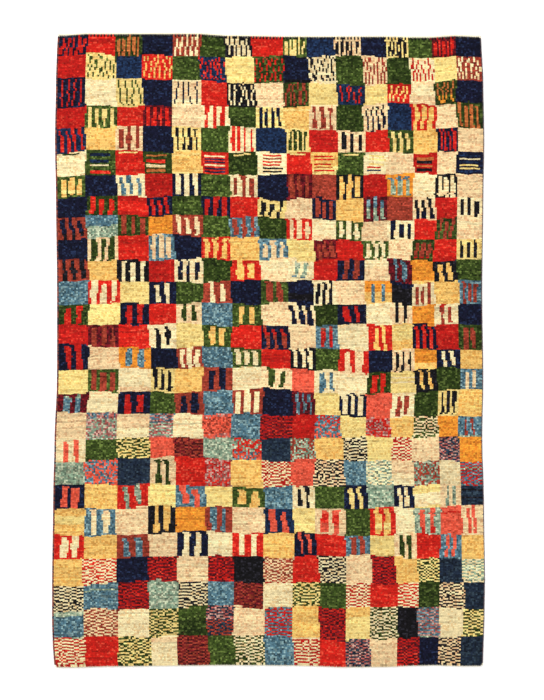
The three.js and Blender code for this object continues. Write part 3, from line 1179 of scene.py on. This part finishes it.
def add_twining(material):
    """Slanting stitches a knot wide, by turns dark and in the colour of the knot beside."""
    number = np.arange(KNOTS_ACROSS)
    count = len(number)
    u = (number + 0.5) / KNOTS_ACROSS
    x, y = across_strip("far", u, STITCH_INSET)
    points = np.zeros((count, 20, 3))
    thick = weaving.uniform(*STITCH_SIZES, count)
    for ring, (along, size) in enumerate(STITCH_RINGS):
        for side in range(STITCH_SIDES):
            angle = side / STITCH_SIDES * 2 * np.pi
            at = ring * STITCH_SIDES + side
            points[:, at, 0] = np.cos(angle) * STITCH_HALF_WIDTH * size * thick
            points[:, at, 1] = along
            points[:, at, 2] = np.sin(angle) * STITCH_HALF_HEIGHT * size * thick
    points[:, 18, 1] = -STITCH_TIP
    points[:, 19, 1] = STITCH_TIP
    points[:, 18:, 2] = -TIP_DROP
    points[:, :, 0] += points[:, :, 1] * STITCH_SLANT
    spots = np.stack([x, y, np.full(count, STITCH_HEIGHT)], axis=-1)
    dark = np.array([linear(code) for code in TWINE_DARK])[weaving.integers(0, 3, count)]
    between = colour_at(u, np.ones(count)) * BETWEEN_SHADE
    colours = np.where((number % 2)[:, None], between, dark)
    colours = colours * weaving.normal(1, STITCH_DYE, (count, 1))
    row = add_units("twining_row", points + spots[:, None, :], *rod(3, STITCH_SIDES, 1, 1),
                    np.ones(20), material, np.clip(colours, 0, 1))
    return row


cord_wool = wool_material(
    "overcast wool", fibre=0.18, dye=0.1, depth=0.5, sheen=0.25, painted_shade_attribute="tip"
)
twining = add_twining(cord_wool)


# Side cords: the outermost warps of each side, bundled and wound round and round with yarn, dark
# red and navy on the left, the same greyed on the right, and undyed beside the end strips.
CORD_WIDTH, CORD_HEIGHT = 6.5 * MM, 5.6 * MM
CORD_GAP = 0.3 * MM
TURN_PITCH = 3.8 * MM
TURN_SLANT = 0.8 * MM
TURN_RINGS = ((-0.62, 0.83), (-0.27, 1.0), (0.27, 1.0), (0.62, 0.83))
CORD_SIDES = 8
CORD_YARNS = dict(
    left=("#84402F", "#8C4C3C", "#54303A", "#2A2838", "#6C3432"),
    right=("#5A4C56", "#6A4A4C", "#70605C", "#3A3748", "#63434A"),
)
CORD_SHARES = (0.34, 0.2, 0.16, 0.18, 0.12)
TURN_DYE, TURN_SWELL = 0.1, 0.02
# Each turn's end rings are painted darker: painted shade in the grooves where the turns meet.
TURN_PAINTED_SHADES = (0.55, 1.0, 1.0, 0.55)
CLOSED_END = 0.05
CORD_ABOVE_FLOOR = 0.05 * MM
UNDYED_TURN_SHADE = 0.85


def cord_colours(side, count):
    """The yarn of each turn: a navy one here and there among the others."""
    choice = weaving.choice(len(CORD_YARNS[side]), count, p=CORD_SHARES)
    codes = np.array([linear(code) for code in CORD_YARNS[side]])[choice]
    return np.clip(codes * weaving.normal(1, TURN_DYE, (count, 1)), 0, 1)


def add_side_cord(side, material):
    """Overlapping turns of yarn along one side, the first and the last one closed."""
    sign = -1 if side == "left" else 1
    low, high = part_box(f"side_cord_{side}")
    count = int((high.y - low.y) / TURN_PITCH)
    pitch = (high.y - low.y) / count
    y = low.y + pitch * (np.arange(count) + 0.5)
    x = np.interp(y, *outline[side]) + sign * (CORD_GAP + CORD_WIDTH / 2)
    size = weaving.normal(1, TURN_SWELL, count)
    points = np.zeros((count, len(TURN_RINGS) * CORD_SIDES, 3))
    for ring, (along, swell) in enumerate(TURN_RINGS):
        scale = size * swell
        if ring == 0:
            scale[0] = CLOSED_END
        if ring == len(TURN_RINGS) - 1:
            scale[-1] = CLOSED_END
        for corner in range(CORD_SIDES):
            angle = corner / CORD_SIDES * 2 * np.pi
            at = ring * CORD_SIDES + corner
            slant = TURN_SLANT * np.cos(angle) * (scale > 0.5)
            points[:, at, 0] = x + np.cos(angle) * CORD_WIDTH / 2 * scale
            points[:, at, 1] = np.clip(y + along * pitch - slant, low.y, high.y)
            points[:, at, 2] = CORD_HEIGHT / 2 * (1 + np.sin(angle) * scale)
    points[:, :, 2] = np.maximum(points[:, :, 2], CORD_ABOVE_FLOOR)
    # Painted shade: darker at both ends of every turn.
    shade = np.repeat(TURN_PAINTED_SHADES, CORD_SIDES)
    colours = cord_colours(side, count)
    beside_strips = (y < low.y + NEAR_STRIP) | (y > high.y - FAR_STRIP)
    colours[beside_strips] = linear(UNDYED) * UNDYED_TURN_SHADE
    faces, chart = rod(len(TURN_RINGS), CORD_SIDES, 0, 0)
    cord = add_units(f"overcast_cord_{side}", points, faces[:, ::-1], chart[:, ::-1], shade,
                     material, colours)
    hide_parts(f"side_cord_{side}")
    return cord


side_cords = [add_side_cord(side, cord_wool) for side in ("left", "right")]
